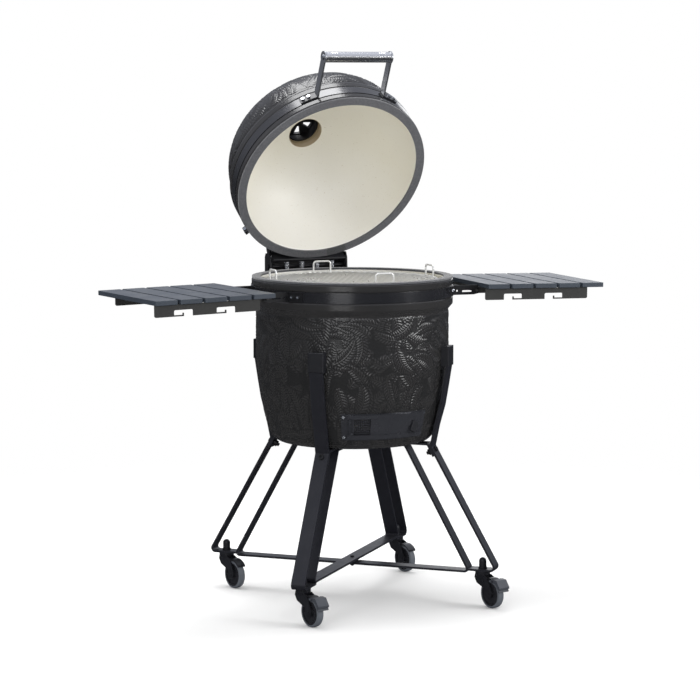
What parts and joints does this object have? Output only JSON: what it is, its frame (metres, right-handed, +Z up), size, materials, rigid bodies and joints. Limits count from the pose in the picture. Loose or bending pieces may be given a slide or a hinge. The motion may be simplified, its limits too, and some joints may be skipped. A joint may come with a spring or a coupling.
{
  "type": "kamado ceramic grill",
  "caption": "Round ceramic kamado grill with its hinged domed lid open, folding slatted side shelves and a four-legged flat-bar stand on swivel casters.",
  "frame": {"origin": "on the floor, on the pot's vertical axis, midway between the four caster stems", "axes": "+Z up, -Y towards the draft door and lid handle, +X to the right of someone facing the grill"},
  "size_m": [1.4272, 0.8068, 1.5526],
  "materials": {
    "glazed_black": "gloss black glaze outside, pale ivory glaze inside",
    "refractory": "unglazed pale refractory",
    "cast_iron": "rough",
    "felt": "dark grey felt",
    "satin_band": "satin",
    "black_steel": "satin powder coat",
    "bright_bolts": "bright",
    "spring_steel": "bright",
    "stainless": "polished",
    "door_steel": "satin",
    "black_plastic": "matte",
    "slate_bar": "powder coat",
    "slat_grey": "matte, fine grain",
    "shelf_steel": "powder coat",
    "vent_cast": "black coat",
    "caster_black": "satin",
    "wheel_core": "matte",
    "tyre": "matte",
    "pedal_grey": "matte"
  },
  "bodies": {
    "base_and_stand": {"base_pot": "glazed_black", "base_gasket": "felt", "base_band": "satin_band", "base_bolts": "bright_bolts", "firebox": "refractory", "fire_ring": "refractory", "charcoal_grate": "cast_iron", "draft_frame": "door_steel", "draft_screws": "bright_bolts", "leg_front_left": "slate_bar", "leg_front_right": "slate_bar", "leg_back_left": "slate_bar", "leg_back_right": "slate_bar", "inner_frame_low": "slate_bar", "inner_frame_high": "slate_bar", "cradle_strap_a": "slate_bar", "cradle_strap_b": "slate_bar", "arm_caps": "black_plastic", "stand_bolts": "bright_bolts", "shelf_brackets_left": "black_steel", "shelf_brackets_right": "black_steel", "hinge_base": "black_steel", "hinge_pin": "bright_bolts", "hinge_springs": "spring_steel", "stem_caps": "black_plastic"},
    "lid": {"lid_dome": "glazed_black", "lid_gasket": "felt", "lid_band": "satin_band", "lid_hinge_bracket": "black_steel", "handle_arm_left": "stainless", "handle_arm_right": "stainless", "handle_grip": "stainless", "lid_bolts": "bright_bolts", "vent_base": "vent_cast", "vent_screw": "bright_bolts"},
    "damper": {"vent_damper": "vent_cast", "daisy_nut": "bright_bolts"},
    "daisy": {"daisy_wheel": "vent_cast"},
    "draft_door_panel": {"draft_door": "door_steel", "door_pull": "black_plastic"},
    "draft_screen_panel": {"draft_screen": "stainless"},
    "grate": {"cooking_grate": "stainless"},
    "shelf_left": {"shelf_left_slats": "slat_grey", "shelf_left_frame": "shelf_steel"},
    "shelf_right": {"shelf_right_slats": "slat_grey", "shelf_right_frame": "shelf_steel"},
    "caster_front_left": {"caster_fork_front_left": "caster_black"},
    "wheel_front_left": {"caster_wheel_front_left": "wheel_core", "caster_tyre_front_left": "tyre"},
    "pedal_front_left": {"brake_pedal_front_left": "pedal_grey"},
    "caster_front_right": {"caster_fork_front_right": "caster_black"},
    "wheel_front_right": {"caster_wheel_front_right": "wheel_core", "caster_tyre_front_right": "tyre"},
    "pedal_front_right": {"brake_pedal_front_right": "pedal_grey"},
    "caster_back_left": {"caster_fork_back_left": "caster_black"},
    "wheel_back_left": {"caster_wheel_back_left": "wheel_core", "caster_tyre_back_left": "tyre"},
    "caster_back_right": {"caster_fork_back_right": "caster_black"},
    "wheel_back_right": {"caster_wheel_back_right": "wheel_core", "caster_tyre_back_right": "tyre"}
  },
  "joints": [
    {"name": "lid_hinge", "type": "hinge", "parent": "base_and_stand", "child": "lid", "pos_m": [0, 0.317, 0.9275], "axis": [-1, 0, 0], "range_deg": [-55.74, 6], "deforming": ["hinge_springs"]},
    {"name": "damper_swing", "type": "hinge", "parent": "lid", "child": "damper", "pos_m": [0, 0.40333, 1.29725], "axis": [0, 0.8265, 0.5629], "range_deg": [0, 100]},
    {"name": "daisy_spin", "type": "hinge", "parent": "damper", "child": "daisy", "pos_m": [0, 0.37781, 1.35247], "axis": [0, 0.8265, 0.5629], "range_deg": [-26, 10]},
    {"name": "draft_door_slide", "type": "hinge", "parent": "base_and_stand", "child": "draft_door_panel", "pos_m": [0, 0, 0.52], "axis": [0, 0, 1], "range_deg": [-10.5, 0]},
    {"name": "draft_screen_slide", "type": "hinge", "parent": "base_and_stand", "child": "draft_screen_panel", "pos_m": [0, 0, 0.52], "axis": [0, 0, 1], "range_deg": [0, 10]},
    {"name": "cooking_grate_lift", "type": "slide", "parent": "base_and_stand", "child": "grate", "axis": [0, 0, 1], "range_m": [0, 0.3]},
    {"name": "shelf_left_fold", "type": "hinge", "parent": "base_and_stand", "child": "shelf_left", "pos_m": [-0.32922, -0.02416, 0.88007], "axis": [0.0854, -0.9963, 0], "range_deg": [0, 90]},
    {"name": "shelf_right_fold", "type": "hinge", "parent": "base_and_stand", "child": "shelf_right", "pos_m": [0.32922, -0.02416, 0.88007], "axis": [0.0854, 0.9963, 0], "range_deg": [0, 90]},
    {"name": "swivel_front_left", "type": "hinge", "parent": "base_and_stand", "child": "caster_front_left", "pos_m": [-0.27648, -0.27648, 0.09], "axis": [0, 0, 1], "continuous": true},
    {"name": "spin_front_left", "type": "hinge", "parent": "caster_front_left", "child": "wheel_front_left", "pos_m": [-0.26775, -0.31756, 0.04], "axis": [0.9781, 0.2079, 0], "continuous": true},
    {"name": "brake_front_left", "type": "hinge", "parent": "caster_front_left", "child": "pedal_front_left", "pos_m": [-0.26359, -0.33712, 0.0798], "axis": [0.9781, 0.2079, 0], "range_deg": [0, 5]},
    {"name": "swivel_front_right", "type": "hinge", "parent": "base_and_stand", "child": "caster_front_right", "pos_m": [0.27648, -0.27648, 0.09], "axis": [0, 0, 1], "continuous": true},
    {"name": "spin_front_right", "type": "hinge", "parent": "caster_front_right", "child": "wheel_front_right", "pos_m": [0.28521, -0.31756, 0.04], "axis": [0.9781, 0.2079, 0], "continuous": true},
    {"name": "brake_front_right", "type": "hinge", "parent": "caster_front_right", "child": "pedal_front_right", "pos_m": [0.28937, -0.33712, 0.0798], "axis": [0.9781, 0.2079, 0], "range_deg": [0, 5]},
    {"name": "swivel_back_left", "type": "hinge", "parent": "base_and_stand", "child": "caster_back_left", "pos_m": [-0.27648, 0.27648, 0.09], "axis": [0, 0, 1], "continuous": true},
    {"name": "spin_back_left", "type": "hinge", "parent": "caster_back_left", "child": "wheel_back_left", "pos_m": [-0.26775, 0.2354, 0.04], "axis": [0.9781, 0.2079, 0], "continuous": true},
    {"name": "swivel_back_right", "type": "hinge", "parent": "base_and_stand", "child": "caster_back_right", "pos_m": [0.27648, 0.27648, 0.09], "axis": [0, 0, 1], "continuous": true},
    {"name": "spin_back_right", "type": "hinge", "parent": "caster_back_right", "child": "wheel_back_right", "pos_m": [0.28521, 0.2354, 0.04], "axis": [0.9781, 0.2079, 0], "continuous": true}
  ]
}
